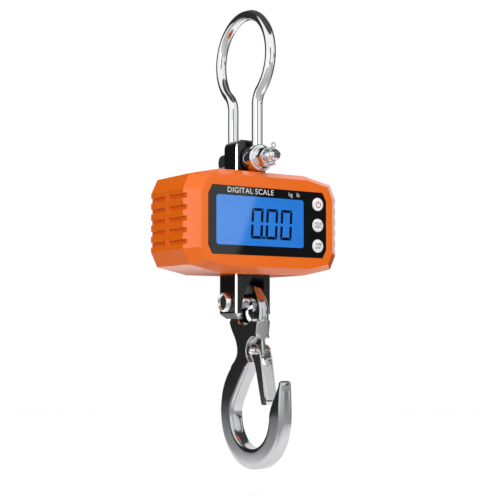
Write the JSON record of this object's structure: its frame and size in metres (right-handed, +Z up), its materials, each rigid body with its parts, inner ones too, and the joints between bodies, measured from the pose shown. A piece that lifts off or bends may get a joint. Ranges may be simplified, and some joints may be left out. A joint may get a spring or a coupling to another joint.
{
  "type": "crane scale",
  "caption": "Hanging crane scale: bow shackle on top, boxy orange housing with a backlit display and keys, latched hook below.",
  "frame": {"origin": "inner top of the shackle's bow, where the crane's hook bears, on the bow's centre plane", "axes": "+Z up, -Y the front with the display, +X to the right seen from the front"},
  "size_m": [0.13, 0.0817, 0.3305],
  "materials": {
    "orange_shell": "semi-gloss moulded ABS",
    "black_coated_steel": "satin black coating",
    "chrome": "bright plated",
    "polished_steel": "polished forging",
    "latch_steel": "stamped, bright",
    "zinc_steel": "zinc plated",
    "nickel": "nickel plated",
    "gauge_foil": "foil on film",
    "sealant": "soft silicone",
    "seal_rubber": "matte",
    "cable_sheath": "satin",
    "red_wire": "satin",
    "white_nylon": "moulded",
    "black_panel": "printed film, gloss",
    "clear_window": "clear",
    "lcd": "backlit blue display",
    "light_guide": "milky",
    "circuit_board": "solder resist",
    "black_epoxy": "moulded",
    "black_plastic": "moulded",
    "cell_jacket": "printed jacket",
    "white_key": "moulded"
  },
  "bodies": {
    "shackle": {"shackle_bow": "chrome", "shackle_pin": "chrome", "shackle_washer": "chrome", "shackle_nut": "chrome", "split_pin": "zinc_steel"},
    "meter": {"load_cell": "black_coated_steel", "strain_gauges": "gauge_foil", "cell_potting": "sealant", "cell_cable": "cable_sheath", "cable_connector": "white_nylon", "battery_lead_red": "red_wire", "battery_lead_black": "cable_sheath", "front_cover": "orange_shell", "rear_cover": "orange_shell", "housing_screws": "zinc_steel", "cell_screws": "zinc_steel", "gasket_top": "seal_rubber", "gasket_bottom": "seal_rubber", "front_panel": "black_panel", "display_window": "clear_window", "lcd_glass": "lcd", "backlight": "light_guide", "main_board": "circuit_board", "board_chips": "black_epoxy", "board_screws": "zinc_steel", "buzzer": "black_epoxy", "tact_switches": "black_epoxy", "battery_tray": "black_plastic", "contact_springs": "nickel", "contact_plates": "nickel", "battery_cell_1": "cell_jacket", "battery_cell_2": "cell_jacket", "battery_cell_3": "cell_jacket", "hook_pin": "chrome", "pin_circlip": "zinc_steel", "hook_spacers": "zinc_steel"},
    "hook": {"hook": "polished_steel", "latch_pin": "chrome"},
    "latch": {"latch": "latch_steel", "latch_spring": "nickel"},
    "power_key": {"key_power": "white_key"},
    "hold_key": {"key_hold": "white_key"},
    "units_key": {"key_units": "white_key"},
    "battery_door": {"battery_cover": "orange_shell"}
  },
  "joints": [
    {"name": "meter_swing", "type": "hinge", "parent": "shackle", "child": "meter", "pos_m": [0, 0, -0.102], "axis": [0, 1, 0], "range_deg": [-90, 90]},
    {"name": "hook_swing", "type": "hinge", "parent": "meter", "child": "hook", "pos_m": [0.004, 0, -0.204], "axis": [1, 0, 0], "range_deg": [-50, 50]},
    {"name": "latch_pivot", "type": "hinge", "parent": "hook", "child": "latch", "pos_m": [0.004, -0.0132, -0.2383], "axis": [1, 0, 0], "range_deg": [0, 30], "stiffness_Nm_per_rad": 0.02, "springref_deg": -34.38},
    {"name": "power_key_press", "type": "slide", "parent": "meter", "child": "power_key", "axis": [0, 1, 0], "range_m": [0, 0.0008], "stiffness_N_per_m": 1500, "springref_m": -0.0004},
    {"name": "hold_key_press", "type": "slide", "parent": "meter", "child": "hold_key", "axis": [0, 1, 0], "range_m": [0, 0.0008], "stiffness_N_per_m": 1500, "springref_m": -0.0004},
    {"name": "units_key_press", "type": "slide", "parent": "meter", "child": "units_key", "axis": [0, 1, 0], "range_m": [0, 0.0008], "stiffness_N_per_m": 1500, "springref_m": -0.0004},
    {"name": "battery_door_lift", "type": "slide", "parent": "meter", "child": "battery_door", "axis": [0, 1, 0], "range_m": [0, 0.015]}
  ]
}
